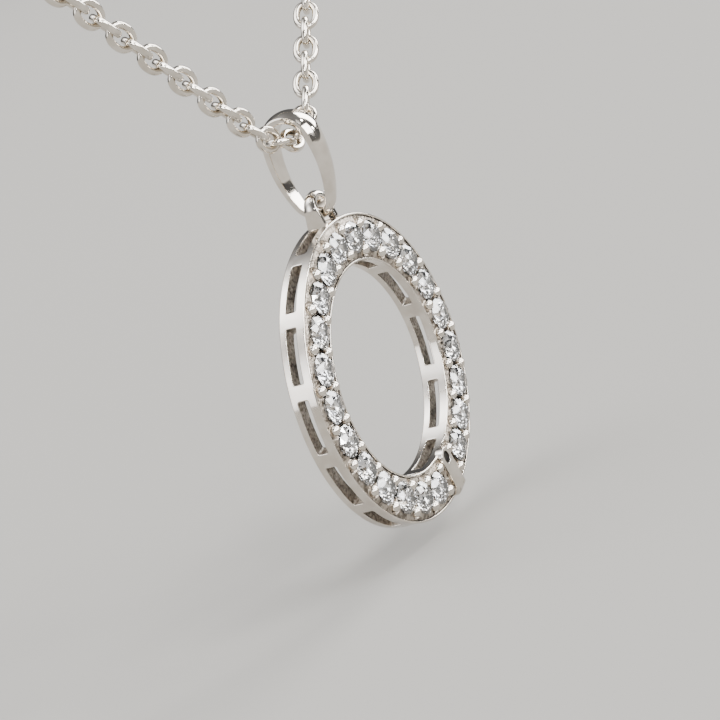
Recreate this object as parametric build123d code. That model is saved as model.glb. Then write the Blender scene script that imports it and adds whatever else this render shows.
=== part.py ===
from build123d import *
from math import cos, degrees, pi, radians, sin, sqrt, tan
import os

os.makedirs("parts", exist_ok=True)

# An open circle pendant on a whole trace chain, in millimetres.
# The nape of the neck is the origin. +X is the viewer's right, -Y is the front, +Z is up.
# Angles round the circle count clockwise from its top, as seen from the front.

# Open circle: a raised front plate with stones, and an outer and an inner wall behind it
circle_radius = 9.0
band_width = 2.75
circle_depth = 1.6
plate_thickness = 0.52
wall_thickness = 0.85
rail_height = 0.40
rim_width = 0.16
floor_drop = 0.08
dome_rise = 0.12
dome_top_width = 1.0
edge_bevel = 0.07

# Windows in the two walls, between posts
outer_posts = 14
inner_posts = 10
post_width = 0.9
inner_post_turn = 4.5

# Round brilliant stones
stone_count = 22
stone_diameter = 1.9
crown_height = 0.29
pavilion_depth = 0.82
girdle_thickness = 0.045
table_share = 0.57
star_share = 0.5
lower_half_share = 0.77
girdle_rise = 0.13
seat_clearance = 0.04

# Grains that hold the stones, two in each gap
grain_radius = 0.3
grain_inner_offset = 0.8
grain_outer_offset = 0.7
grain_rise = 0.03

# Plain cross bar that fills the one place without a stone
bar_place = 10
bar_width = 1.2
bar_height = 0.22
bar_overhang = 0.12
bar_fold = 0.12
bar_fold_depth = 1.15
bar_recess_length = 0.76
bar_recess_width = 0.64
bar_recess_depth = 0.1

# Eyelet on top of the circle, and the bail that runs through it
eyelet_gap = 0.6
eyelet_thickness = 0.4
eyelet_foot_width = 1.4
eyelet_top_width = 0.65
eyelet_clearance = 0.12
eyelet_root = 0.2
bail_clearance = 0.3
bail_top_width = 1.9
bail_bottom_width = 0.75
bail_top_thickness = 0.6
bail_bottom_thickness = 0.45
bail_top_bore = 1.15
bail_bottom_bore = 0.95
bail_drop = 3.25
bail_side_radius = 7.0

# Chain, drawn as a tube of its outer diameter, and its clasp
chain_diameter = 1.45
chain_bend_radius = 4.4
clasp_length = 11.0
clasp_diameter = 3.4
clasp_collar_diameter = 1.9
clasp_collar_length = 1.0
clasp_dome = 1.2

# One half of the chain's route, from beside the clasp to the point under the bail
chain_route = [
    (23.5, 0, 0), (51.5, -26, -7), (62.5, -63, -19), (55.5, -100, -38), (34, -125.5, -63),
    (0, -128.5, -96),
]

stone_radius = stone_diameter / 2
inner_radius = circle_radius - band_width
stone_circle = circle_radius - band_width / 2
places = stone_count + 1
place_angle = 360 / places
front = -circle_depth / 2
back = circle_depth / 2
floor = front + floor_drop
plate_back = front + plate_thickness
rail_front = back - rail_height
cut_margin = 0.5


def save(shape, node, colour):
    """Writes one node as its own STEP file."""
    shape.label = node
    shape.color = Color(colour)
    export_step(shape, "parts/" + node + ".step")


def on_circle(angle):
    """Turns a shape that stands at the top of the circle to a clockwise angle."""
    return Rot(0, angle, 0)


def place_turn(place):
    """The eyelet stands over the middle of the gap between the last place and the first."""
    return (place + 0.5) * place_angle


def polyhedron(points, faces):
    """A solid from corner points and the corners of each flat face."""
    flat = [Face(Wire.make_polygon([points[name] for name in face])) for face in faces]
    return Solid(Shell(flat))


def brilliant():
    """A round brilliant: table, stars, kites, upper halves, girdle, lower halves and mains.
    It stands with its table towards -Y and the top of its girdle at the origin."""
    table = table_share * stone_radius
    star = table * cos(pi / 8) + star_share * (stone_radius - table * cos(pi / 8))
    star_height = crown_height * (stone_radius - star * cos(pi / 8)) / (stone_radius - table)
    lower = (1 - lower_half_share) * stone_radius
    lower_depth = pavilion_depth * (stone_radius - lower * cos(pi / 8)) / stone_radius

    def point(radius, eighths, height):
        turn = eighths * pi / 4
        return Vector(radius * sin(turn), -height, radius * cos(turn))

    points = {"culet": point(0, 0, -girdle_thickness - pavilion_depth)}
    for k in range(8):
        points["table", k] = point(table, k, crown_height)
        points["star", k] = point(star, k + 0.5, star_height)
        points["lower", k] = point(lower, k + 0.5, -girdle_thickness - lower_depth)
    for j in range(16):
        points["girdle", j] = point(stone_radius, j / 2, 0)
        points["edge", j] = point(stone_radius, j / 2, -girdle_thickness)

    faces = [[("table", k) for k in range(8)]]
    for k in range(8):
        after, before = (k + 1) % 8, (k - 1) % 8
        even, odd, following = 2 * k, 2 * k + 1, (2 * k + 2) % 16
        faces.append([("table", k), ("table", after), ("star", k)])
        faces.append([("table", k), ("star", k), ("girdle", even), ("star", before)])
        faces.append([("star", k), ("girdle", even), ("girdle", odd)])
        faces.append([("star", k), ("girdle", odd), ("girdle", following)])
        faces.append([("lower", k), ("edge", even), ("edge", odd)])
        faces.append([("lower", k), ("edge", odd), ("edge", following)])
        faces.append(["culet", ("lower", before), ("edge", even), ("lower", k)])
    for j in range(16):
        after = (j + 1) % 16
        faces.append([("girdle", j), ("girdle", after), ("edge", after), ("edge", j)])
    return polyhedron(points, faces)


def ring_section():
    """The band's section: a plate raised between two rims, and a wall behind each rim."""
    low, high = inner_radius, circle_radius
    half_top, crest = dome_top_width / 2, front - dome_rise
    outline = [
        (low + edge_bevel, front), (low + rim_width, front), (low + rim_width, floor),
        (stone_circle - half_top, crest), (stone_circle + half_top, crest),
        (high - rim_width, floor), (high - rim_width, front), (high - edge_bevel, front),
        (high, front + edge_bevel), (high, back - edge_bevel), (high - edge_bevel, back),
        (high - wall_thickness, back), (high - wall_thickness, plate_back),
        (low + wall_thickness, plate_back), (low + wall_thickness, back),
        (low + edge_bevel, back), (low, back - edge_bevel), (low, front + edge_bevel),
    ]
    return make_face(Polyline(*outline, close=True))


def plate_front(offset):
    """The depth of the raised plate's front, at an offset from the circle of stones."""
    foot, half_top = band_width / 2 - rim_width, dome_top_width / 2
    share = max(abs(offset) - half_top, 0) / (foot - half_top)
    return front - dome_rise + share * (floor_drop + dome_rise)


def windows(near, far, posts, radius, turn):
    """The cuts through one wall, from radius near to radius far, that leave the posts."""
    post_angle = degrees(post_width / radius)
    opening = 360 / posts - post_angle
    corners = [(near, plate_back), (far, plate_back), (far, rail_front), (near, rail_front)]
    cut = revolve(make_face(Polyline(*corners, close=True)), Axis.Y, revolution_arc=opening)
    first = turn + post_angle / 2 - 90
    return [Rot(0, first + 360 * k / posts, 0) * cut for k in range(posts)]


def seat():
    """The hole under one stone, which follows its pavilion with the seat's clearance."""
    top = front - girdle_rise + girdle_thickness
    wide = stone_radius + seat_clearance
    share = (plate_back - top) / pavilion_depth
    narrow = stone_radius * (1 - share) + seat_clearance
    outline = [(0, top - cut_margin), (wide, top - cut_margin), (wide, top), (narrow, plate_back),
               (narrow, back), (0, back)]
    hole = revolve(make_face(Polyline(*outline, close=True)), Axis.Y)
    return Pos(0, 0, stone_circle) * hole


def cross_bar():
    """A plain bar across the band, rounded over the hole and folded over the outer wall."""
    half = bar_width / 2
    low = inner_radius - bar_overhang
    high = circle_radius + bar_fold
    top = front - bar_height
    plan = Rectangle(bar_width, high - low - half, align=(Align.CENTER, Align.MIN))
    plan = Pos(0, low + half) * plan + Pos(0, low + half) * Circle(half)
    slab = extrude(Plane.XZ * plan, amount=-(floor + floor_drop - top))
    slab = Pos(0, top, 0) * slab
    fold = Pos(0, top, circle_radius - rim_width) * Box(
        bar_width, bar_fold_depth + bar_height, bar_fold + rim_width,
        align=(Align.CENTER, Align.MIN, Align.MIN))
    oval = Plane.XZ * Ellipse(bar_recess_width / 2, bar_recess_length / 2)
    recess = Pos(0, top - bar_recess_depth, low + half) * extrude(oval, amount=-bar_recess_depth * 2)
    return slab + fold - recess


def bail_half_width(height):
    """Half the bail's width at a height over the chain's axis, which tapers evenly downwards."""
    top = bail_top_bore + bail_top_thickness
    bottom = -bail_drop - bail_bottom_bore - bail_bottom_thickness
    share = (top - height) / (top - bottom)
    return bail_top_width / 2 * (1 - share) + bail_bottom_width / 2 * share


def eyelet(axis_height):
    """A strap bent to an arch over the bail, with both legs rooted in the outer wall.
    Inside the bail its edges stay within the bore, so it swings there with an even gap."""
    strap_reach = bail_bottom_bore - eyelet_clearance
    shoulder_rise = eyelet_gap - sqrt(eyelet_gap ** 2 - bail_half_width(-bail_drop) ** 2)
    crown = axis_height - sqrt(strap_reach ** 2 - (eyelet_foot_width / 2) ** 2) + shoulder_rise
    centre = crown - eyelet_gap
    outer = eyelet_gap + eyelet_thickness
    foot = circle_radius - eyelet_root
    arch = Pos(0, centre) * (Circle(outer) - Circle(eyelet_gap))
    arch -= Pos(0, centre) * Rectangle(2 * outer, outer, align=(Align.CENTER, Align.MAX))
    leg = Rectangle(eyelet_thickness, centre - foot, align=(Align.CENTER, Align.MIN))
    middle = eyelet_gap + eyelet_thickness / 2
    profile = arch + Pos(middle, foot) * leg + Pos(-middle, foot) * leg
    strap = extrude(Plane.XZ * profile, amount=eyelet_foot_width / 2, both=True)
    half_foot, half_top, top = eyelet_foot_width / 2, eyelet_top_width / 2, centre + outer
    taper = Polyline((-half_foot, foot), (half_foot, foot), (half_foot, circle_radius),
                     (half_top, top), (-half_top, top), (-half_foot, circle_radius), close=True)
    return strap & extrude(Plane.YZ * make_face(taper), amount=outer, both=True)


def circle_frame(axis_height):
    """The whole cast circle, with its own centre at the origin."""
    ring = revolve(ring_section(), Axis.Y)
    cuts = windows(circle_radius - wall_thickness - cut_margin / 4, circle_radius + cut_margin,
                   outer_posts, circle_radius, 0)
    cuts += windows(inner_radius - cut_margin, inner_radius + wall_thickness + cut_margin / 4,
                    inner_posts, inner_radius, inner_post_turn)
    hole = seat()
    stone_places = [k for k in range(places) if k != bar_place]
    cuts += [on_circle(place_turn(k)) * hole for k in stone_places]
    ring -= cuts
    grains = []
    for k in range(places):
        for offset in (-grain_inner_offset, grain_outer_offset):
            depth = plate_front(offset) - grain_rise
            grain = Pos(0, depth, stone_circle + offset) * Sphere(grain_radius)
            grains.append(on_circle(place_turn(k + 0.5)) * grain)
    ring += grains
    ring += on_circle(place_turn(bar_place)) * cross_bar()
    return ring + eyelet(axis_height)


def drop_outline(top_radius, bottom_radius, side_radius):
    """An egg shape: an arc over the upper centre, one under the lower centre, and two long side
    arcs that meet both smoothly."""
    difference = (top_radius - bottom_radius) * (2 * side_radius - top_radius - bottom_radius)
    rise = (difference - bail_drop ** 2) / (2 * bail_drop)
    side = Vector(-sqrt((side_radius - top_radius) ** 2 - rise ** 2), rise)
    lower_centre = Vector(0, -bail_drop)
    upper = (Vector(0, 0) - side).normalized() * top_radius
    lower = lower_centre + (lower_centre - side).normalized() * bottom_radius
    widest = side + Vector(side_radius, 0)
    lines = [ThreePointArc(upper, widest, lower)]
    lines.append(ThreePointArc(lower, (0, -bail_drop - bottom_radius), (-lower.X, lower.Y)))
    lines.append(ThreePointArc((-lower.X, lower.Y), (-widest.X, widest.Y), (-upper.X, upper.Y)))
    lines.append(ThreePointArc((-upper.X, upper.Y), (0, top_radius), upper))
    return make_face(lines)


def bail():
    """An egg-shaped band round the chain and the eyelet, narrower towards its lower end.
    The chain's axis passes through the origin along X."""
    top = bail_top_bore + bail_top_thickness
    low_radius = bail_bottom_bore + bail_bottom_thickness
    bottom = -bail_drop - low_radius
    inner_side_radius = bail_side_radius - (bail_top_thickness + bail_bottom_thickness) / 2
    outer = drop_outline(top, low_radius, bail_side_radius)
    inner = drop_outline(bail_top_bore, bail_bottom_bore, inner_side_radius)
    band = extrude(Plane.YZ * (outer - inner), amount=bail_top_width / 2, both=True)
    taper = Polyline((-bail_top_width / 2, top), (bail_top_width / 2, top),
                     (bail_bottom_width / 2, bottom), (-bail_bottom_width / 2, bottom), close=True)
    wedge = extrude(Plane.XZ * make_face(taper), amount=2 * top, both=True)
    return band & wedge


def clasp():
    """A plain barrel clasp, with a collar at each end that the chain meets."""
    half = clasp_length / 2
    barrel = half - clasp_collar_length
    radius, collar = clasp_diameter / 2, clasp_collar_diameter / 2
    shoulder = barrel - clasp_dome
    outline = [
        (-half, 0), (-half, collar), (-barrel, collar), (-shoulder, radius),
        (shoulder, radius), (barrel, collar), (half, collar), (half, 0),
    ]
    return revolve(make_face(Polyline(*outline, close=True)), Axis.X)


def turn_between(before, corner, after):
    """How far the route turns at a corner, in degrees."""
    return (Vector(*corner) - Vector(*before)).get_angle(Vector(*after) - Vector(*corner))


def chain_points():
    """The whole route, from one end of the clasp round to the other."""
    start = (clasp_length / 2, 0, 0)
    right = [start] + chain_route
    left = [(-x, y, z) for x, y, z in reversed(right[:-1])]
    return right + left


def chain():
    """A tube along the route, in straight runs joined by tangent arcs."""
    points = chain_points()
    middle = len(points) // 2
    radii = []
    for k in range(1, len(points) - 1):
        before, corner, after = points[k - 1], points[k], points[k + 1]
        turn = turn_between(before, corner, after)
        corner_point = Vector(*corner)
        shorter = min((corner_point - Vector(*before)).length, (Vector(*after) - corner_point).length)
        radius = chain_bend_radius if k == middle else 0.45 * shorter / tan(radians(turn / 2))
        radii.append(radius)
    print("chain radii", [round(radius, 1) for radius in radii])
    path = FilletPolyline(*points, radius=radii)
    section = Plane(origin=points[0], z_dir=(1, 0, 0)) * Circle(chain_diameter / 2)
    tube = sweep(section, path=path)
    expected = pi * chain_diameter ** 2 / 4 * path.length
    print("chain length", round(path.length, 2))
    print("chain volume", round(tube.volume, 2), "expected", round(expected, 2))
    return tube


def bail_axis():
    """The middle of the chain's lowest bend, where the bail hangs."""
    corner, beside = Vector(*chain_route[-1]), Vector(*chain_route[-2])
    mirrored = (-beside.X, beside.Y, beside.Z)
    half_turn = radians(turn_between(chain_route[-2], chain_route[-1], mirrored) / 2)
    inward = Vector(0, beside.Y - corner.Y, beside.Z - corner.Z).normalized()
    return corner + inward * (chain_bend_radius * (1 / cos(half_turn) - 1))


hang = bail_axis()
swing_to_wall = bail_bottom_bore + bail_bottom_thickness + bail_clearance
circle_centre_drop = bail_drop + swing_to_wall + circle_radius
at_bail = Pos(hang.X, hang.Y, hang.Z)
at_circle = at_bail * Pos(0, 0, -circle_centre_drop)

save(chain(), "chain", "lightgray")
save(clasp(), "clasp", "gray")
save(at_bail * bail(), "bail", "silver")
save(at_circle * circle_frame(circle_radius + swing_to_wall), "circle_frame", "lightsteelblue")

stone = Pos(0, front - girdle_rise, stone_circle) * brilliant()
stone_number = 0
for place in range(places):
    if place == bar_place:
        continue
    stone_number += 1
    save(at_circle * on_circle(place_turn(place)) * stone, f"stone_{stone_number:02d}", "lightcyan")

print("bail axis", [round(value, 3) for value in hang])
print("circle centre", round(hang.Y, 3), round(hang.Z - circle_centre_drop, 3))
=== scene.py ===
from math import cos, log, pi, radians, sin
import bmesh
import bpy
import numpy as np
from mathutils import Matrix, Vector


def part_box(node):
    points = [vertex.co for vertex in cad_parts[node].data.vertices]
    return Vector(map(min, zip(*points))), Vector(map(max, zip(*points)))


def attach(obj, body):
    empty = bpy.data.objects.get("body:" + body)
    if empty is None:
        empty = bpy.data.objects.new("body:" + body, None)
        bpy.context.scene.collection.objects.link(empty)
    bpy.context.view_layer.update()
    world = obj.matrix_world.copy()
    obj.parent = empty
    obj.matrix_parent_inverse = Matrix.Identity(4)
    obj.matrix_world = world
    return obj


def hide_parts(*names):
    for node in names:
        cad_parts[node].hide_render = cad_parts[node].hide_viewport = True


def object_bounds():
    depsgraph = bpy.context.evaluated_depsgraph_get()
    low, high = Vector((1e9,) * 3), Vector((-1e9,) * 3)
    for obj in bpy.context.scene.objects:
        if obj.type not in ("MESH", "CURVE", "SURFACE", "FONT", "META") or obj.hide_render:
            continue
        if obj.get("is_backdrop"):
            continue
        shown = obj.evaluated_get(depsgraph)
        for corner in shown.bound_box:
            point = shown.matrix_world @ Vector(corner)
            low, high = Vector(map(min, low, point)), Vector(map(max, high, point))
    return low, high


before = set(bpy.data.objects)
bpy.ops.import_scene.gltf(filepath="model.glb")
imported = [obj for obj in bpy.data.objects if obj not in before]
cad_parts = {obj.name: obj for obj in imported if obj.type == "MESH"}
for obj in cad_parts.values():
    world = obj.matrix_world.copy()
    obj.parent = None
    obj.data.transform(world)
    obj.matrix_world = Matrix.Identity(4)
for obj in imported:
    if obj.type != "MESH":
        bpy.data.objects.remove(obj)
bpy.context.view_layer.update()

# An open circle pendant of white gold and diamonds, on a trace chain.
# Blender works in metres; every size in a dictionary is in millimetres and every angle in degrees.
mm = 0.001
rng = np.random.default_rng(11)  # grains and links differ a little from one another

circle = {
    "radius": 9.0, "innerRadius": 6.25, "depth": 1.6, "wall": 0.85,  # as the cast circle
    "floor": -0.72, "plateBack": -0.28, "railFront": 0.40,  # depths, 0 in the middle, -0.8 in front
    "crest": -0.92, "foot": 1.215, "swell": 2.4,  # the plate's top, its reach and its fall
    "places": 23, "barPlace": 10,  # places for stones, and the one that the cross bar takes
}
front, back = -circle["depth"] / 2, circle["depth"] / 2
stoneCircle = (circle["radius"] + circle["innerRadius"]) / 2
placeAngle = 2 * pi / circle["places"]


def plateFront(offset):
    # the raised plate's depth at an offset q from the circle of stones, which falls with the swell n:
    # crest + (floor - crest) (|q| / foot) ^ n
    share = (np.abs(offset) / circle["foot"]).clip(0, 1) ** circle["swell"]
    return circle["crest"] + (circle["floor"] - circle["crest"]) * share


frameLow, frameHigh = [np.array(corner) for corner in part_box("circle_frame")]
bailLow, bailHigh = [np.array(corner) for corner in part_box("bail")]
circleCentre = np.array([0, frameHigh[1] - back * mm, frameLow[2] + circle["radius"] * mm])
print("frame loaded, circle centre", circleCentre.round(5))


# Camera

cameraShape = {
    "azimuth": -59.93, "elevation": 12.18, "roll": -20.97, "distance": 129.5,
    "aim": (-3.05, -0.8, 1.58),  # from the circle's centre
    "lens": 116.9, "sensor": 36.0, "clip": (1.0, 50000),
}


def makeCamera(shape):
    # behind = (sin a cos e, -cos a cos e, sin e), right = (cos a, sin a, 0), up = behind x right,
    # and the roll r turns the last two: right cos r + up sin r, up cos r - right sin r
    a, e, r = [radians(shape[key]) for key in ("azimuth", "elevation", "roll")]
    behind = np.array([sin(a) * cos(e), -cos(a) * cos(e), sin(e)])
    right = np.array([cos(a), sin(a), 0])
    up = np.cross(behind, right)
    place = circleCentre + np.array(shape["aim"]) * mm + behind * shape["distance"] * mm
    axes = np.column_stack([right * cos(r) + up * sin(r), up * cos(r) - right * sin(r), behind])
    data = bpy.data.cameras.new("camera")
    data.lens, data.sensor_width = shape["lens"], shape["sensor"]
    data.clip_start, data.clip_end = np.array(shape["clip"]) * mm
    camera = bpy.data.objects.new("camera", data)
    camera.matrix_world = Matrix.Translation(place) @ Matrix(axes.tolist()).to_4x4()
    bpy.context.collection.objects.link(camera)
    bpy.context.scene.camera = camera


makeCamera(cameraShape)
print("camera placed")


# Materials

def linear(hexColour):
    # an sRGB channel c becomes ((c + 0.055) / 1.055) ^ 2.4
    channels = np.array([int(hexColour[k:k + 2], 16) for k in (1, 3, 5)]) / 255
    return (*((channels + 0.055) / 1.055) ** 2.4, 1.0)


def addNode(tree, kind, inputs=None, **settings):
    # adds a node, sets its properties, and fills each named input with a value or a link
    node = tree.nodes.new(kind)
    for name, value in settings.items():
        setattr(node, name, value)
    for name, value in (inputs or {}).items():
        if isinstance(value, bpy.types.NodeSocket):
            tree.links.new(value, node.inputs[name])
        else:
            node.inputs[name].default_value = value
    return node


def newMaterial(name, **fixed):
    # a Principled material, with the values that are the same all over it
    material = bpy.data.materials.new(name)
    material.use_nodes = True
    tree = material.node_tree
    shader = tree.nodes["Principled BSDF"]
    for key, value in fixed.items():
        shader.inputs[key.replace("_", " ")].default_value = value
    return material, tree, shader


def metal(name, light, dark, roughness, haze, grit, gritHeight, patchSize=0.9):
    # colour and roughness drift from patch to patch, over the middle of the noise's range, and the
    # bump is grit; sizes are in millimetres
    material, tree, shader = newMaterial(name, Metallic=1.0)
    where = addNode(tree, "ShaderNodeTexCoord").outputs["Object"]
    patch = addNode(tree, "ShaderNodeTexNoise", {
        "Vector": where, "Scale": 1 / (patchSize * mm), "Detail": 3.0})
    colour = addNode(tree, "ShaderNodeValToRGB", {"Fac": patch.outputs["Fac"]})
    for stop, position, shade in zip(colour.color_ramp.elements, (0.35, 0.65), (dark, light)):
        stop.position, stop.color = position, linear(shade)
    rough = addNode(tree, "ShaderNodeMapRange", {
        "Value": patch.outputs["Fac"], "From Min": 0.3, "From Max": 0.7,
        "To Min": roughness - haze, "To Max": roughness + haze})
    grain = addNode(tree, "ShaderNodeTexNoise", {
        "Vector": where, "Scale": 1 / (grit * mm), "Detail": 2.0})
    bump = addNode(tree, "ShaderNodeBump", {
        "Height": grain.outputs["Fac"], "Strength": 1.0, "Distance": gritHeight * mm})
    tree.links.new(colour.outputs["Color"], shader.inputs["Base Color"])
    tree.links.new(rough.outputs["Result"], shader.inputs["Roughness"])
    tree.links.new(bump.outputs["Normal"], shader.inputs["Normal"])
    return material


# White gold, rhodium plated and hand polished: a mirror with a warm white tint and a breath of haze,
# and under it the faint waves that the wheel leaves, about a third of a millimetre long
polishedGold = metal("polishedWhiteGold", light="#DFD8CE", dark="#CFC7BC", roughness=0.09, haze=0.03,
                     grit=0.35, gritHeight=0.0006)
# White gold as it came out of the mould, in the windows: dull, pitted and blotched. The mould's grit
# is 0.03 mm, too fine to show, and is drawn at 0.08 mm
castGold = metal("castWhiteGold", light="#D6CCBF", dark="#7A7167", roughness=0.40, haze=0.12,
                 grit=0.08, gritHeight=0.036, patchSize=0.16)
# White gold in the hollows, where no wheel reaches: its colour is painted dark, as painted shade in the
# channel behind the plate, in the engraved lines, under the stones and in the bar's recess; its
# unpolished grit is drawn at 0.12 mm so that it shows
paintedShadeGold = metal("paintedShadeWhiteGold", light="#4C4945", dark="#1E1C1A", roughness=0.50, haze=0.10,
                    grit=0.12, gritHeight=0.014, patchSize=0.4)
# White gold between the stones, cut with a graver: greyer than the polish, and broken up by its
# facets, which are drawn at 0.12 mm so that they show
cutGold = metal("cutWhiteGold", light="#B5AB9F", dark="#5F574E", roughness=0.30, haze=0.10,
                grit=0.12, gritHeight=0.036, patchSize=0.3)
# White gold wire, tumbled after the links were closed: a softer shine, with dents of 0.25 mm
wireGold = metal("tumbledWhiteGold", light="#DED7CC", dark="#C8C0B4", roughness=0.11, haze=0.04,
                 grit=0.25, gritHeight=0.0015)


def makeDiamond():
    # Diamond, cut and polished: clear, with the high index that makes facets flash white and black,
    # and a tint that drifts from cool to warm
    material, tree, shader = newMaterial(
        "cutDiamond", Metallic=0.0, Roughness=0.0, IOR=2.417, Transmission_Weight=1.0)
    where = addNode(tree, "ShaderNodeTexCoord").outputs["Object"]
    patchSize = 0.5
    tint = addNode(tree, "ShaderNodeTexNoise", {
        "Vector": where, "Scale": 1 / (patchSize * mm), "Detail": 1.0})
    colour = addNode(tree, "ShaderNodeValToRGB", {"Fac": tint.outputs["Fac"]})
    for stop, position, shade in zip(colour.color_ramp.elements, (0.4, 0.6), ("#F6F9FF", "#FFFBF6")):
        stop.position, stop.color = position, linear(shade)
    tree.links.new(colour.outputs["Color"], shader.inputs["Base Color"])
    return material


diamond = makeDiamond()
print("materials made")


# Grids, profiles and meshes

weldDistance = 0.0005
castCircle = ("circle", "white_gold", ["circle_frame"])  # body, slot and CAD nodes of its pieces


def gridQuads(rows, columns, wrapRows):
    # quad (i, j) joins the points (i, j), (i, j + 1), (i + 1, j + 1) and (i + 1, j)
    i, j = np.meshgrid(np.arange(rows - (not wrapRows)), np.arange(columns), indexing="ij")
    below, right = (i + 1) % rows, (j + 1) % columns
    corners = [i * columns + j, i * columns + right, below * columns + right, below * columns + j]
    return np.stack(corners, -1).reshape(-1, 4)


def makePiece(name, grids, materials, body, slotName, nodes, sharpAngle=38):
    # grids holds (points, kinds, wrapRows): points of shape (..., rows, columns, 3) in metres, whose
    # columns close on themselves, kinds, the material of each row of faces, and whether rows close too
    points, quads, kinds, used = [], [], [], 0
    for grid, rowKinds, wrapRows in grids:
        rows, columns = grid.shape[-3:-1]
        grid = grid.reshape(-1, rows, columns, 3)
        one = gridQuads(rows, columns, wrapRows)
        starts = used + np.arange(len(grid)) * rows * columns
        quads.append((one[None] + starts[:, None, None]).reshape(-1, 4))
        rowKinds = np.broadcast_to(rowKinds, rows - (not wrapRows))
        kinds.append(np.tile(np.repeat(rowKinds, columns), len(grid)))
        points.append(grid.reshape(-1, 3))
        used += len(points[-1])
    points, quads, kinds = np.concatenate(points), np.concatenate(quads), np.concatenate(kinds)
    mesh = bpy.data.meshes.new(name)
    mesh.vertices.add(len(points))
    mesh.vertices.foreach_set("co", points.ravel())
    mesh.loops.add(quads.size)
    mesh.loops.foreach_set("vertex_index", quads.ravel())
    mesh.polygons.add(len(quads))
    mesh.polygons.foreach_set("loop_start", np.arange(0, quads.size, 4))
    mesh.polygons.foreach_set("material_index", kinds.astype(np.int32))
    mesh.update(calc_edges=True)
    work = bmesh.new()
    work.from_mesh(mesh)
    bmesh.ops.remove_doubles(work, verts=work.verts, dist=weldDistance * mm)
    bmesh.ops.recalc_face_normals(work, faces=work.faces)
    work.to_mesh(mesh)
    work.free()
    mesh.shade_smooth()
    mesh.set_sharp_from_angle(angle=radians(sharpAngle))
    for material in materials:
        mesh.materials.append(material)
    piece = bpy.data.objects.new(name, mesh)
    bpy.context.collection.objects.link(piece)
    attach(piece, body)
    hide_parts(*nodes)
    print(name, len(mesh.polygons), "faces")


def arc(centre, radius, start, end, steps):
    # centre + radius (cos t, sin t), with t from start to end in degrees
    turn = np.radians(np.linspace(start, end, steps + 1))
    return np.column_stack([centre[0] + radius * np.cos(turn), centre[1] + radius * np.sin(turn)])


def roundedLoop(halfWidth, low, high, lowRadius, highRadius, inset, steps):
    # a rectangle with round corners, walked once round, with the radii of its two ends; the inset moves
    # each point in along the normal, and steps are those of a side across, one along and a corner
    acrossSteps, alongSteps, arcSteps = steps
    arcs, loop = [], []
    for k, (side, end) in enumerate([(1, 1), (-1, 1), (-1, -1), (1, -1)]):
        radius = highRadius if end > 0 else lowRadius
        centre = (side * (halfWidth - radius), high - radius if end > 0 else low + radius)
        arcs.append(arc(centre, radius - inset, 90 * k, 90 * k + 90, arcSteps))
    for k, count in enumerate([acrossSteps, alongSteps, acrossSteps, alongSteps]):
        start, end = arcs[k][-1], arcs[(k + 1) % 4][0]
        share = np.arange(1, count)[:, None] / count
        loop += [arcs[k], start + share * (end - start)]
    return np.concatenate(loop)


def onCircle(x, depth, radial, angle=0.0):
    # a point x to the right and radial out from the circle's axis, turned clockwise by the angle:
    # (x cos a + z sin a, depth, z cos a - x sin a), from the circle's centre
    place = [x * np.cos(angle) + radial * np.sin(angle), depth,
             radial * np.cos(angle) - x * np.sin(angle)]
    return circleCentre + np.stack(np.broadcast_arrays(*place), -1) * mm


# The two walls of the circle, each with its rim, its windows and its rails

walls = {
    "outerWall": {
        "face": circle["radius"], "inwards": -1, "posts": 14, "turn": 0.0, "stripEnd": 0.23},
    "innerWall": {
        "face": circle["innerRadius"], "inwards": 1, "posts": 10, "turn": 4.5, "stripEnd": 0.22},
}
wallShape = {
    "postWidth": 0.9, "windowCorner": 0.11, "windowEdge": 0.035, "channelEdge": 0.05,
    "revealShares": (0.1, 0.35, 0.65, 0.9), "borderOutset": 0.7, "loopSteps": (28, 5, 4),
    "borderFront": -0.42, "borderBack": 0.52,  # the strip of wall that holds the windows
    "rim": 0.13, "rimBevel": 0.055, "rimLip": 0.03, "backBevel": 0.06,
    "grooveWidth": 0.045, "grooveDepth": 0.05, "grooveSlope": 0.015,
    "stripDepth": -0.74, "stripBevel": 0.02, "stripSlope": 0.03, "underFloor": 0.06, "hold": 0.03,
}
wallGolds = [polishedGold, castGold, paintedShadeGold, cutGold]
polished, cast, channel, cut = range(len(wallGolds))


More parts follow.
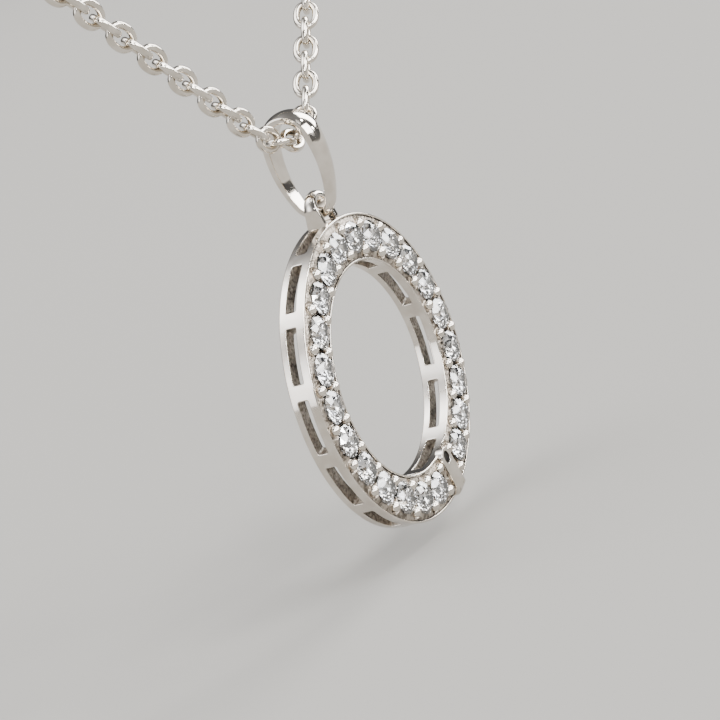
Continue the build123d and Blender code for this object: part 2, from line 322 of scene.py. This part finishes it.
def windowCells(wall, shape):
    # rows go from the cell's border to the window, over a round edge, through the reveal and back out,
    # as loops of (distance along the wall, depth), each with a sink inwards from the wall's face
    half = pi * wall["face"] / wall["posts"]
    opening = half - shape["postWidth"] / 2
    corner, edge, lip = (shape[key] for key in ("windowCorner", "windowEdge", "channelEdge"))
    thick = circle["wall"]

    def loop(outset):
        return roundedLoop(opening, circle["plateBack"], circle["railFront"], corner, corner, -outset,
                           shape["loopSteps"])

    border = loop(shape["borderOutset"])  # reaches past the cell on every side, and is cut back to it
    border = np.column_stack([
        border[:, 0].clip(-half, half), border[:, 1].clip(shape["borderFront"], shape["borderBack"])])
    edgeRows = [(loop(edge * (1 - sin(t))), edge * (1 - cos(t))) for t in np.radians([0, 30, 60, 90])]
    revealRows = [(loop(0.0), thick * share) for share in shape["revealShares"]]
    lipRows = [(loop(lip * (1 - cos(t))), thick - lip * (1 - sin(t))) for t in np.radians([0, 45, 90])]
    rows = [(border, 0.0), (loop(edge + shape["hold"]), 0.0), *edgeRows, *revealRows, *lipRows,
            (border, thick)]
    # the channel lip and the wall's face towards the channel are painted dark, as painted shade
    kinds = np.repeat([polished, cast, channel], [len(edgeRows) + 1, len(revealRows), len(lipRows) + 1])
    loops = np.stack([row for row, sink in rows])
    sinks = np.array([sink for row, sink in rows])[:, None]
    centres = radians(wall["turn"]) + (np.arange(wall["posts"]) + 0.5) * 2 * pi / wall["posts"]
    angles = centres[:, None, None] + loops[None, :, :, 0] / wall["face"]
    grid = onCircle(0.0, loops[None, :, :, 1], wall["face"] + wall["inwards"] * sinks[None], angles)
    steps = np.unique(border[border[:, 1] == shape["borderBack"], 0].round(6))[:-1] / wall["face"]
    return grid, kinds, (centres[:, None] + steps).ravel()  # with the angles of the border's points


def wallEdges(wall, shape):
    # profiles of (distance in from the wall's face, depth), carried once round the circle: in front
    # the rim, the engraved line behind it and a strip of plate, and at the back a rail
    floor, thick, hold = circle["floor"], circle["wall"], shape["hold"]
    rim, bevel, lip, backBevel = (shape[key] for key in ("rim", "rimBevel", "rimLip", "backBevel"))
    groove, grooveFloor = rim + shape["grooveWidth"], floor + shape["grooveDepth"]
    strip, stripEnd, stripBevel = shape["stripDepth"], wall["stripEnd"], shape["stripBevel"]
    under = floor + shape["underFloor"] + stripBevel
    rimRows = np.concatenate([
        [(0, shape["borderFront"]), (0, front + bevel + hold)],
        arc((bevel, front + bevel), bevel, 180, 270, 4),
        arc((rim - lip, front + lip), lip, 270, 360, 3),
    ])
    grooveRows = [(rim, grooveFloor), (groove, grooveFloor)]
    stripRows = [
        (groove + shape["grooveSlope"], strip), (stripEnd, strip),
        (stripEnd + stripBevel, strip + stripBevel), (stripEnd + shape["stripSlope"], under),
        (thick, under), (thick, shape["borderFront"]),
    ]
    # the engraved line is painted dark, as painted shade in its groove
    kinds = np.repeat([polished, channel, cut],
                      [len(rimRows) - 1, len(grooveRows) + 1, len(stripRows) - 1])
    backEdge = np.concatenate([
        [(0, shape["borderBack"]), (0, back - backBevel - hold)],
        arc((backBevel, back - backBevel), backBevel, 180, 90, 4),
        [(backBevel + hold, back), (thick - backBevel - hold, back)],
        arc((thick - backBevel, back - backBevel), backBevel, 90, 0, 4),
        [(thick, shape["borderBack"])],
    ])
    return (np.concatenate([rimRows, grooveRows, stripRows]), kinds), (backEdge, polished)


for name, wall in walls.items():
    cells, cellKinds, angles = windowCells(wall, wallShape)
    grids = [(cells, cellKinds, False)]
    for edge, edgeKinds in wallEdges(wall, wallShape):
        radial = wall["face"] + wall["inwards"] * edge[:, :1]
        grids.append((onCircle(0.0, edge[:, 1:], radial, angles[None]), edgeKinds, False))
    makePiece(name, grids, wallGolds, *castCircle)


# The plate between the walls, with a seat under each stone

plateShape = {
    "innerEdge": 6.41, "outerEdge": 8.84, "backInnerEdge": 7.05, "backOuterEdge": 8.20,
    "edgeFront": 0.12, "edgeBack": -0.08,  # from the floor and from the plate's back
    "sidePoints": 30, "sheetRows": 19, "backRows": 6, "lipRounds": 3,
    "seatRadius": 0.99, "seatTop": -0.885, "seatSlope": 1.16,
    "seatMiddle": -0.55, "seatUnder": -0.30, "seatBack": 0.31, "lidRadius": 0.4,
    "innerGrain": -0.8, "outerGrain": 0.7,
    "crescent": 0.36, "crescentWidth": 0.06, "crescentDepth": 0.13,
    "furrowWidth": 0.06, "furrowLength": 0.42, "furrowDepth": 0.16,
}


def cellBorder(low, high, steps):
    # two arcs and two radial lines round one place, r (sin t, cos t) with the place at the top
    share = np.linspace(-1, 1, steps, endpoint=False)
    one = np.ones(steps)
    turn = np.concatenate([share, one, -share, -one]) * placeAngle / 2
    middle, half = (low + high) / 2, (high - low) / 2
    radial = middle + half * np.concatenate([one, -share, -one, share])
    return np.stack([radial * np.sin(turn), radial * np.cos(turn)], -1)


def cutDepth(x, z, shape):
    # between each pair of stones a furrow, depth exp(-(across / width) ^ 2 - (along / length) ^ 4), and
    # on each grain's rim side a crescent, depth (1 + cos a) / 2 exp(-((distance - radius) / width) ^ 2)
    depth = np.zeros_like(x)
    for side in (-1, 1):
        turn = side * placeAngle / 2
        across = x * cos(turn) - z * sin(turn)
        along = x * sin(turn) + z * cos(turn) - stoneCircle
        depth += shape["furrowDepth"] * np.exp(
            -(across / shape["furrowWidth"]) ** 2 - (along / shape["furrowLength"]) ** 4)
        for row, offset in [(-1, shape["innerGrain"]), (1, shape["outerGrain"])]:
            away = along - offset
            distance = np.hypot(across, away)
            facing = (0.5 + 0.5 * row * away / distance.clip(0.01)).clip(0, 1)
            depth += shape["crescentDepth"] * facing * np.exp(
                -((distance - shape["crescent"]) / shape["crescentWidth"]) ** 2)
    return depth


def seatReach(depth, shape):
    # the seat's radius at a depth d: seatRadius down to its top, then seatRadius - slope (d - top)
    return shape["seatRadius"] - shape["seatSlope"] * (depth - shape["seatTop"]).clip(0)


def plateCells(shape, stone):
    # rows go from the front border to the seat's lip, down its cone, and out to the back border; in the
    # place without a stone the plate closes over the seat, and bright faces are those that are graved
    frontBorder = cellBorder(shape["innerEdge"], shape["outerEdge"], shape["sidePoints"])
    backBorder = cellBorder(shape["backInnerEdge"], shape["backOuterEdge"], shape["sidePoints"])
    centre = np.array([0, stoneCircle])
    ways = frontBorder - centre
    ways /= np.linalg.norm(ways, axis=-1, keepdims=True)
    lip = np.full((len(ways), 1), shape["seatRadius"])
    for step in range(shape["lipRounds"]):
        offset = np.linalg.norm(centre + ways * lip, axis=-1, keepdims=True) - stoneCircle
        lip = seatReach(plateFront(offset), shape)
    share = np.linspace(0, 1, shape["sheetRows"])[:, None, None]
    sheet = frontBorder + share * (centre + ways * lip - frontBorder)
    graved = cutDepth(sheet[..., 0], sheet[..., 1], shape)
    graved[0] = 0
    depths = plateFront(np.hypot(sheet[..., 0], sheet[..., 1]) - stoneCircle) + graved
    crest, under = circle["crest"], circle["plateBack"]
    if stone:
        seat = [(seatReach(np.array(depth), shape), depth)
                for depth in (shape["seatMiddle"], shape["seatUnder"])]
        bright = len(sheet) - 1
    else:
        seat = [(shape["lidRadius"], crest), (0.0, crest), (0.0, under)]
        bright = len(sheet) + 1
    seat.append((shape["seatBack"], under))
    seatRows = np.stack([centre + ways * radius for radius, depth in seat])
    seatDepths = np.array([[depth] for radius, depth in seat]) * np.ones(len(ways))
    share = np.linspace(0, 1, shape["backRows"] + 1)[1:, None, None]
    backRows = seatRows[-1] + share * (backBorder - seatRows[-1])
    backDepths = np.full(backRows.shape[:2], under)
    plan = np.concatenate([sheet, seatRows, backRows])
    # past the graved sheet, the seat and the plate's back are painted dark, as painted shade under the
    # stones
    kinds = np.where(np.arange(len(plan) - 1) < bright, 0, 1)
    return plan, np.concatenate([depths, seatDepths, backDepths]), kinds


def plateEdges(shape):
    # the plate's two edges, which run inside the walls, as profiles of (radius, depth) from the front
    # border to the back border, carried once round the circle
    share = np.linspace(-1, 1, shape["sidePoints"], endpoint=False) * placeAngle / 2
    angles = ((np.arange(circle["places"])[:, None] + 0.5) * placeAngle + share).ravel()
    floor, under = circle["floor"], circle["plateBack"]
    depth = np.array([[floor], [floor + shape["edgeFront"]], [under + shape["edgeBack"]], [under]])
    edges = []
    for frontKey, backKey in [("innerEdge", "backInnerEdge"), ("outerEdge", "backOuterEdge")]:
        radial = np.array([[shape[key]] for key in (frontKey, frontKey, backKey, backKey)])
        # the plate's edges inside the walls are painted dark, as painted shade
        edges.append((onCircle(0.0, depth, radial, angles[None]), 1, False))
    return edges


def makePlate(shape):
    grids = plateEdges(shape)
    for stone in (True, False):
        places = [k for k in range(circle["places"]) if (k != circle["barPlace"]) == stone]
        plan, depths, kinds = plateCells(shape, stone)
        turns = (np.array(places) + 0.5)[:, None, None] * placeAngle
        grid = onCircle(plan[None, ..., 0], depths[None], plan[None, ..., 1], turns)
        grids.append((grid, kinds, False))
    makePiece("stonePlate", grids, [cutGold, paintedShadeGold], *castCircle, sharpAngle=50)


makePlate(plateShape)


# The grains that hold the stones

grainShape = {
    "radius": 0.33, "height": 0.35, "inner": -0.78, "outer": 0.72, "sink": 0.07, "spread": 0.05,
    "rows": 15, "columns": 24,
}


def makeGrains(shape):
    # radius (sin t cos s, sin t sin s) across and height cos t out, t from 0 to 180 and s once round
    t = np.linspace(0, pi, shape["rows"])[:, None]
    s = np.linspace(0, 2 * pi, shape["columns"], endpoint=False)[None]
    count = 2 * circle["places"]
    sizes = 1 + shape["spread"] * rng.uniform(-1, 1, (3, count, 1, 1))
    turns = (np.arange(count) // 2 * placeAngle)[:, None, None]
    offsets = np.where(np.arange(count) % 2, shape["inner"], shape["outer"])[:, None, None]
    across = shape["radius"] * sizes[0] * np.sin(t) * np.cos(s)
    radial = stoneCircle + offsets + shape["radius"] * sizes[1] * np.sin(t) * np.sin(s)
    rise = shape["height"] * sizes[2] * np.cos(t) * np.ones_like(s)
    depth = plateFront(offsets) + shape["sink"] - rise
    makePiece("grains", [(onCircle(across, depth, radial, turns), 0, False)],
              [polishedGold], *castCircle, sharpAngle=60)


makeGrains(grainShape)


# The plain cross bar, in the one place without a stone

barShape = {
    "halfWidth": 0.6, "innerEnd": 6.13, "outerReach": 9.12, "top": -1.11, "foldEnd": 0.35,
    "bend": 0.26, "edge": 0.05, "innerCorner": 0.599, "outerCorner": 0.1, "crown": 0.02,
    "bodyDepth": 0.45, "bendBody": 0.25, "bodyFade": (0.5, 0.1),  # ends this far before the bend
    "recessHalfWidth": 0.33, "recessHalfLength": 0.39, "recessDepth": 0.14, "recessField": 1.08,
    "loopSteps": (10, 60, 14), "fieldRows": 9,
    # the recess's rows, from its edge to its middle, as shares of its half sizes and of its depth
    "recessRows": [
        (1.04, 0.02), (1.0, 0.12), (0.97, 0.5), (0.94, 0.9), (0.9, 1.0), (0.5, 1.0), (0.0, 1.0)],
}


def makeBar(shape):
    # loops in x and s, where s runs out along the band, round the bend and down the outer wall, and a
    # sink inwards from that line: radius = min(s, c) + (b - sink) sin t and
    # depth = top + b - (b - sink) cos t + what s has left, for a bend of radius b that starts at c
    bend, half = shape["bend"], shape["halfWidth"]
    corner = shape["outerReach"] - bend
    bendLength = bend * pi / 2
    length = corner + bendLength + shape["foldEnd"] - (shape["top"] + bend)

    def loop(inset):
        return roundedLoop(half, shape["innerEnd"], length, shape["innerCorner"], shape["outerCorner"],
                           inset, shape["loopSteps"])

    edge = shape["edge"]
    outline, topLoop = loop(0.0), loop(edge)
    deep = np.interp(outline[:, 1], corner - np.array(shape["bodyFade"]),
                     [shape["bodyDepth"], shape["bendBody"]])
    middle = np.array([0, shape["innerEnd"] + half])
    ways = topLoop - middle
    ways /= np.linalg.norm(ways, axis=-1, keepdims=True)
    reach = np.hypot(ways[:, 0] / shape["recessHalfWidth"], ways[:, 1] / shape["recessHalfLength"])
    oval = ways / reach[:, None]

    spine = outline * (0, 1)
    rows = [(spine, deep), (outline, deep)]
    rows += [(loop(edge * (1 - cos(t))), edge * (1 - sin(t))) for t in np.radians([0, 22, 45, 67, 90])]
    field = middle + oval * shape["recessField"] - topLoop
    rows += [(topLoop + share * field, 0.0) for share in np.linspace(0.05, 1, shape["fieldRows"])]
    # from its second row the recess is painted dark, as painted shade in the hollow
    bright = len(rows) + 1  # the recess is dark from its second row
    rows += [(middle + oval * size, shape["recessDepth"] * sink) for size, sink in shape["recessRows"]]
    plan = np.stack([points for points, sink in rows])
    sink = np.stack([np.broadcast_to(value, len(outline)) for points, value in rows])
    x, s = plan[..., 0], plan[..., 1]
    sink = sink + shape["crown"] * (x / half) ** 2
    turn = ((s - corner) / bend).clip(0, pi / 2)
    radial = np.minimum(s, corner) + (bend - sink) * np.sin(turn)
    depth = shape["top"] + bend - (bend - sink) * np.cos(turn) + (s - corner - bendLength).clip(0)
    place = (circle["barPlace"] + 0.5) * placeAngle
    kinds = np.where(np.arange(len(rows) - 1) < bright, 0, 1)
    makePiece("crossBar", [(onCircle(x, depth, radial, place), kinds, False)],
              [polishedGold, paintedShadeGold], *castCircle)


makeBar(barShape)


# Bands of changing width round a line: the eyelet and the bail

sectionShape = {
    "outsidePoints": 17, "insidePoints": 7,
    "outerFalls": (0.02, 0.07), "innerRises": (0.12, 0.04),  # the bevels, as shares of the thickness
}


def bandSection(shape):
    # once round a band's section as (share of the half width, share of the thickness): flat inside,
    # flat sides, and a crowned outside 1 - c x ^ 2 between two narrow bevels
    edge, crown, innerEdge = shape["edge"], shape["crown"], shape["innerEdge"]
    side = 1 - crown
    across = np.linspace(-1, 1, sectionShape["outsidePoints"])
    outside = np.column_stack([across * (1 - edge), 1 - crown * across ** 2])
    firstFall, secondFall = sectionShape["outerFalls"]
    firstRise, secondRise = sectionShape["innerRises"]
    right = [(1 - edge / 3, side - firstFall), (1, side - secondFall), (1, side / 2), (1, firstRise),
             (1 - innerEdge / 3, secondRise), (1 - innerEdge, 0)]
    innerAcross = np.linspace(1, -1, sectionShape["insidePoints"] + 2)[1:-1] * (1 - innerEdge * 1.5)
    inside = np.column_stack([innerAcross, np.zeros_like(innerAcross)])
    left = [(-x, y) for x, y in reversed(right)]
    return np.concatenate([outside, right, inside, left])


eyeletShape = {
    "gap": 0.6, "thickness": 0.4, "foot": 8.80, "footWidth": 1.2, "topWidth": 0.5,
    "edge": 0.10, "crown": 0.22, "innerEdge": 0.10, "legRows": 10, "archSteps": 32,
}


def makeEyelet(shape):
    # up one leg, over the arch and down the other: (-r, z), (r cos t, centre + r sin t), (r, z), with r
    # from the gap to the outside, and a half width that falls evenly from the rim to the crown
    top = (frameHigh[2] - circleCentre[2]) / mm
    outside = shape["gap"] + shape["thickness"]
    centre = top - outside
    section = bandSection(shape)
    r = shape["gap"] + section[None, :, 1] * shape["thickness"]
    rise = np.linspace(shape["foot"], centre, shape["legRows"])[:, None] * np.ones_like(r)
    turn = np.radians(np.linspace(180, 0, shape["archSteps"] + 1))[1:-1, None]
    leg = r * np.ones((shape["legRows"], 1))
    x = np.concatenate([-leg, r * np.cos(turn), leg])
    z = np.concatenate([rise, centre + r * np.sin(turn), rise[::-1]])
    halfWidth = np.interp(z, [circle["radius"], top], [shape["footWidth"] / 2, shape["topWidth"] / 2])
    depth = section[None, :, 0] * halfWidth
    makePiece("eyelet", [(onCircle(x, depth, z), 0, False)], [polishedGold], *castCircle)


makeEyelet(eyeletShape)

bailShape = {
    "topBore": 1.15, "bottomBore": 0.95, "topThickness": 0.6, "bottomThickness": 0.45, "drop": 3.25,
    "sideRadius": 7.0, "topWidth": 1.9, "bottomWidth": 0.75,
    "edge": 0.05, "crown": 0.34, "innerEdge": 0.08, "arcSteps": 24,
}


def eggLine(topRadius, bottomRadius, sideRadius, drop, steps):
    # an arc over the upper centre, a long side arc and an arc under the lower centre, then mirrored;
    # the side arc's centre lies its radius less theirs from both centres, so that it meets both smoothly
    difference = (topRadius - bottomRadius) * (2 * sideRadius - topRadius - bottomRadius)
    rise = (difference - drop ** 2) / (2 * drop)
    reach = np.sqrt((sideRadius - topRadius) ** 2 - rise ** 2)
    upperTurn, lowerTurn = np.degrees(np.arctan2([-rise, -drop - rise], reach))
    upper = arc((0, 0), topRadius, 90, upperTurn, steps)
    side = arc((-reach, rise), sideRadius, upperTurn, lowerTurn, steps)
    lower = arc((0, -drop), bottomRadius, lowerTurn, -90, steps)
    half = np.concatenate([upper, side[1:-1], lower])
    return np.concatenate([half, half[-2:0:-1] * (-1, 1)])


def makeBail(shape):
    # each section point lies at its share of the way from the inner egg line to the outer one, and
    # across by its share of the half width, which grows evenly from the bottom to the top
    topThick, bottomThick, side = shape["topThickness"], shape["bottomThickness"], shape["sideRadius"]
    drop, steps = shape["drop"], shape["arcSteps"]
    inner = eggLine(shape["topBore"], shape["bottomBore"], side - (topThick + bottomThick) / 2,
                    drop, steps)[:, None]
    outer = eggLine(shape["topBore"] + topThick, shape["bottomBore"] + bottomThick, side,
                    drop, steps)[:, None]
    section = bandSection(shape)
    line = inner + section[None, :, 1:] * (outer - inner)
    top, bottom = outer[..., 1].max(), outer[..., 1].min()
    ends = [shape["bottomWidth"] / 2, shape["topWidth"] / 2]
    halfWidth = np.interp(line[..., 1], [bottom, top], ends)
    axis = np.array([0, (bailLow[1] + bailHigh[1]) / 2, bailHigh[2] - top * mm])
    grid = axis + np.stack([section[None, :, 0] * halfWidth, line[..., 0], line[..., 1]], -1) * mm
    makePiece("bailBand", [(grid, 0, True)], [polishedGold], "bail", "white_gold", ["bail"],
              sharpAngle=34)


makeBail(bailShape)


# The chain's links, along the route of its tube

chainShape = {
    # half the route, from the clasp's end to the point under the bail
    "route": [(5.5, 0, 0), (23.5, 0, 0), (51.5, -26, -7), (62.5, -63, -19), (55.5, -100, -38),
              (34, -125.5, -63), (0, -128.5, -96)],
    "bailRun": 10.0,  # a control point this far up each side rounds the bend in the bail
    "linkLength": 2.0, "linkWidth": 1.5, "wire": 0.39, "pitch": 1.22, "oval": 2.3, "filed": 2.2,
    "facing": (-0.846, -0.490, 0.211), "turn": 6.0, "turnSpread": 4.0,  # how the middle link faces
    "lineSteps": 48, "fineLinks": 24, "fineSteps": (36, 14), "farSteps": (12, 5),
}


def chainLine(shape):
    # the NURBS curve of order 3 that the route's points control, read back as points in metres
    right = np.array(shape["route"], float)
    corner, beside = right[-1], right[-2]
    near = corner + (beside - corner) / np.linalg.norm(beside - corner) * shape["bailRun"]
    half = np.vstack([right[:-1], near])
    points = np.vstack([half, corner, half[::-1] * (-1, 1, 1)]) * mm
    curve = bpy.data.curves.new("chainLine", "CURVE")
    curve.dimensions = "3D"
    spline = curve.splines.new("NURBS")
    spline.points.add(len(points) - 1)
    spline.points.foreach_set("co", np.column_stack([points, np.ones(len(points))]).ravel())
    spline.order_u = 3
    spline.use_endpoint_u = True
    spline.resolution_u = curve.resolution_u = shape["lineSteps"]
    holder = bpy.data.objects.new("chainLine", curve)
    mesh = bpy.data.meshes.new_from_object(holder)
    line = np.empty(len(mesh.vertices) * 3)
    mesh.vertices.foreach_get("co", line)
    bpy.data.objects.remove(holder)
    bpy.data.curves.remove(curve)
    bpy.data.meshes.remove(mesh)
    return line.reshape(-1, 3)


def linkGrid(centres, alongs, normals, shape, turns, sides):
    # the wire's line is a superellipse (a |cos t| ^ (2 / n), b |sin t| ^ (2 / n)) in the link's plane,
    # with the signs of cos t and sin t, and its section another one, filed flat as n is over 2
    def power(value, exponent):
        return np.sign(value) * np.abs(value) ** (2 / exponent)

    t = np.linspace(0, 2 * pi, turns, endpoint=False) + pi / turns
    length = (shape["linkLength"] - shape["wire"]) / 2 * mm
    width = (shape["linkWidth"] - shape["wire"]) / 2 * mm
    oval = shape["oval"]
    line = np.stack([length * power(np.cos(t), oval), width * power(np.sin(t), oval)], -1)
    run = np.roll(line, -1, 0) - np.roll(line, 1, 0)
    out = np.stack([run[:, 1], -run[:, 0]], -1) / np.linalg.norm(run, axis=-1, keepdims=True)
    s = np.linspace(0, 2 * pi, sides, endpoint=False) + pi / sides
    flat = shape["wire"] / 2 * mm * power(np.cos(s), shape["filed"])
    tall = shape["wire"] / 2 * mm * power(np.sin(s), shape["filed"])
    plan = line[:, None] + flat[None, :, None] * out[:, None]
    across = np.cross(normals, alongs)
    return (centres[:, None, None] + plan[None, ..., :1] * alongs[:, None, None]
            + plan[None, ..., 1:] * across[:, None, None]
            + tall[None, None, :, None] * normals[:, None, None])


def makeChain(shape):
    # links stand a pitch apart along the line, and each is turned 90 degrees from the one before;
    # those near the bail are fine, and the rest have fewer faces
    line = chainLine(shape)
    lengths = np.concatenate([[0], np.cumsum(np.linalg.norm(np.diff(line, axis=0), axis=1))])
    count = round(lengths[-1] / 2 / (shape["pitch"] * mm))
    pitch = lengths[-1] / 2 / count
    index = np.arange(-count, count + 1)
    s = lengths[-1] / 2 + index * pitch

    def at(place):
        return np.stack([np.interp(place, lengths, line[:, k]) for k in range(3)], -1)

    alongs = at(s + pitch / 2) - at(s - pitch / 2)
    alongs /= np.linalg.norm(alongs, axis=-1, keepdims=True)
    facing = np.array(shape["facing"])
    facing = facing - alongs * (alongs @ facing)[:, None]
    facing /= np.linalg.norm(facing, axis=-1, keepdims=True)
    beside = np.cross(alongs, facing)
    spread = rng.uniform(-1, 1, len(index)) * shape["turnSpread"]
    roll = np.radians(shape["turn"] + spread + 90 * (index % 2))
    normals = facing * np.cos(roll)[:, None] + beside * np.sin(roll)[:, None]
    fine = np.abs(index) <= shape["fineLinks"]
    grids = [(linkGrid(at(s[part]), alongs[part], normals[part], shape, *steps), 0, True)
             for part, steps in [(fine, shape["fineSteps"]), (~fine, shape["farSteps"])]]
    print("chain line", round(lengths[-1] / mm, 1), "mm,", len(index), "links")
    makePiece("chainLinks", grids, [wireGold], "neck_chain", "chain_gold", ["chain"], sharpAngle=75)


makeChain(chainShape)


# The clasp, a plain barrel behind the neck

claspShape = {
    "length": 11.0, "radius": 1.7, "collarRadius": 0.95, "collarLength": 1.0, "dome": 1.2,
    "edge": 0.15, "collarGap": 0.05, "seamHalfWidth": 0.06, "seamDepth": 0.06,
    "domeRows": 12, "columns": 48,
}


def makeClasp(shape):
    # a profile of (x, r) turned about the chain's line, (x, r cos t, r sin t), with a fine seam in
    # the middle, where the barrel opens
    half, edge = shape["length"] / 2, shape["edge"]
    barrel, collar, reach = half - shape["collarLength"], shape["collarRadius"], shape["radius"]
    seam, seamDepth = shape["seamHalfWidth"], shape["seamDepth"]
    t = np.radians(np.linspace(0, 90, shape["domeRows"]))
    right = np.concatenate([
        [(half, 0), (half, collar - edge)],
        arc((half - edge, collar - edge), edge, 0, 90, 4), [(barrel + shape["collarGap"], collar)],
        np.column_stack([
            barrel - shape["dome"] * (1 - np.cos(t)), collar + (reach - collar) * np.sin(t)]),
        [(seam, reach), (seam / 2, reach - seamDepth / 2), (0, reach - seamDepth)],
    ])
    profile = np.concatenate([right, right[-2::-1] * (-1, 1)])
    turn = np.linspace(0, 2 * pi, shape["columns"], endpoint=False)[None]
    x, radius = profile[:, :1], profile[:, 1:]
    grid = np.stack([x * np.ones_like(turn), radius * np.cos(turn), radius * np.sin(turn)], -1) * mm
    makePiece("claspBarrel", [(grid, 0, False)], [wireGold], "neck_chain", "chain_gold", ["clasp"])


makeClasp(claspShape)


# The stones, which keep the CAD's own cut and take the diamond material

for name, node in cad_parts.items():
    if name.startswith("stone_"):
        for slot in node.material_slots:
            slot.material = diamond
print("stones finished")


# Floor, light and surroundings

studio = {
    "floorDrop": 1.2, "floorRadius": 12000, "floorSides": 96, "floorColour": "#8F8D89",
    "sunWay": (-0.30, 0.10, 0.95), "sunDistance": 1000, "sunStrength": 1.2, "sunAngle": 36,
    # soft glows behind and above, which the walls mirror: direction from the circle, brightness and
    # tightness, over the dusk that is the same all round
    "worldColour": "#F6F7FA", "dusk": 0.06,
    "glows": [
        ((-0.82, 0.50, 0.24), 4.5, 18.0), ((-0.15, 0.52, 0.84), 7.0, 16.0),
        ((0.0, 0.0, 1.0), 0.3, 2.0),
    ],
    # softboxes and small lamps in front, which the stones and the bail mirror: direction, width,
    # height and brightness
    "lampDistance": 6000,
    "lamps": [
        ((0.15, -0.93, 0.33), 4500, 2600, 15.0), ((-0.05, -0.62, 0.78), 3500, 2100, 15.0),
        ((0.85, -0.28, 0.45), 3000, 4500, 15.0), ((-0.70, -0.62, 0.36), 2100, 2600, 15.0),
        ((-0.35, -0.90, 0.20), 450, 450, 70.0), ((-0.50, -0.62, 0.62), 450, 450, 70.0),
        ((0.45, -0.60, 0.68), 450, 450, 70.0), ((0.62, -0.76, 0.18), 450, 450, 70.0),
        ((-0.90, -0.30, 0.25), 450, 450, 70.0),
    ],
}


def addLight(data, way, distance):
    # stands at the distance in its direction from the circle, and its -Z axis looks back at the circle
    way = np.array(way) / np.linalg.norm(way)
    side = np.cross((0, 0, 1), way)
    side /= np.linalg.norm(side)
    axes = np.column_stack([side, np.cross(way, side), way])
    light = bpy.data.objects.new(data.name, data)
    place = circleCentre + way * distance * mm
    light.matrix_world = Matrix.Translation(place) @ Matrix(axes.tolist()).to_4x4()
    light.visible_camera = False
    bpy.context.collection.objects.link(light)


def makeWorld(shape):
    # radiance = dusk + the sum of brightness exp(tightness (cos a - 1)), a from each glow's direction,
    # where the brightness goes into the exponent as its logarithm
    world = bpy.data.worlds.new("studio")
    world.use_nodes = True
    tree = world.node_tree
    where = addNode(tree, "ShaderNodeTexCoord").outputs["Generated"]
    total = shape["dusk"]
    for way, brightness, tightness in shape["glows"]:
        way = np.array(way) / np.linalg.norm(way)
        near = addNode(tree, "ShaderNodeVectorMath", {0: where, 1: way}, operation="DOT_PRODUCT")
        power = addNode(tree, "ShaderNodeMath", {
            0: near.outputs["Value"], 1: tightness, 2: log(brightness) - tightness,
        }, operation="MULTIPLY_ADD")
        glow = addNode(tree, "ShaderNodeMath", {0: power.outputs["Value"]}, operation="EXPONENT")
        total = addNode(tree, "ShaderNodeMath", {0: glow.outputs["Value"], 1: total}, operation="ADD")
        total = total.outputs["Value"]
    sky = tree.nodes["Background"]
    sky.inputs["Color"].default_value = linear(shape["worldColour"])
    tree.links.new(total, sky.inputs["Strength"])
    bpy.context.scene.world = world


def makeStudio(shape):
    low = (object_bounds()[0][2] / mm - shape["floorDrop"]) * mm
    t = np.linspace(0, 2 * pi, shape["floorSides"], endpoint=False)
    reach = shape["floorRadius"] * mm
    points = np.column_stack([reach * np.cos(t), reach * np.sin(t), np.full(len(t), low)])
    mesh = bpy.data.meshes.new("floor")
    mesh.from_pydata(points.tolist(), [], [list(range(len(t)))])
    # a sheet of pale card: matt, even and faintly warm
    card, tree, shader = newMaterial("paleCard", Roughness=1.0, Specular_IOR_Level=0.0)
    shader.inputs["Base Color"].default_value = linear(shape["floorColour"])
    mesh.materials.append(card)
    floor = bpy.data.objects.new("floor", mesh)
    bpy.context.collection.objects.link(floor)
    floor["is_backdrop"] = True
    sun = bpy.data.lights.new("sun", "SUN")
    sun.energy, sun.angle = shape["sunStrength"], radians(shape["sunAngle"])
    addLight(sun, shape["sunWay"], shape["sunDistance"])
    for way, width, height, brightness in shape["lamps"]:
        lamp = bpy.data.lights.new("lamp", "AREA")
        lamp.shape, lamp.size, lamp.size_y = "RECTANGLE", width * mm, height * mm
        lamp.energy = brightness * pi * lamp.size * lamp.size_y  # watts, from the radiance and the area
        addLight(lamp, way, shape["lampDistance"])
    makeWorld(shape)


makeStudio(studio)
print("studio lit")
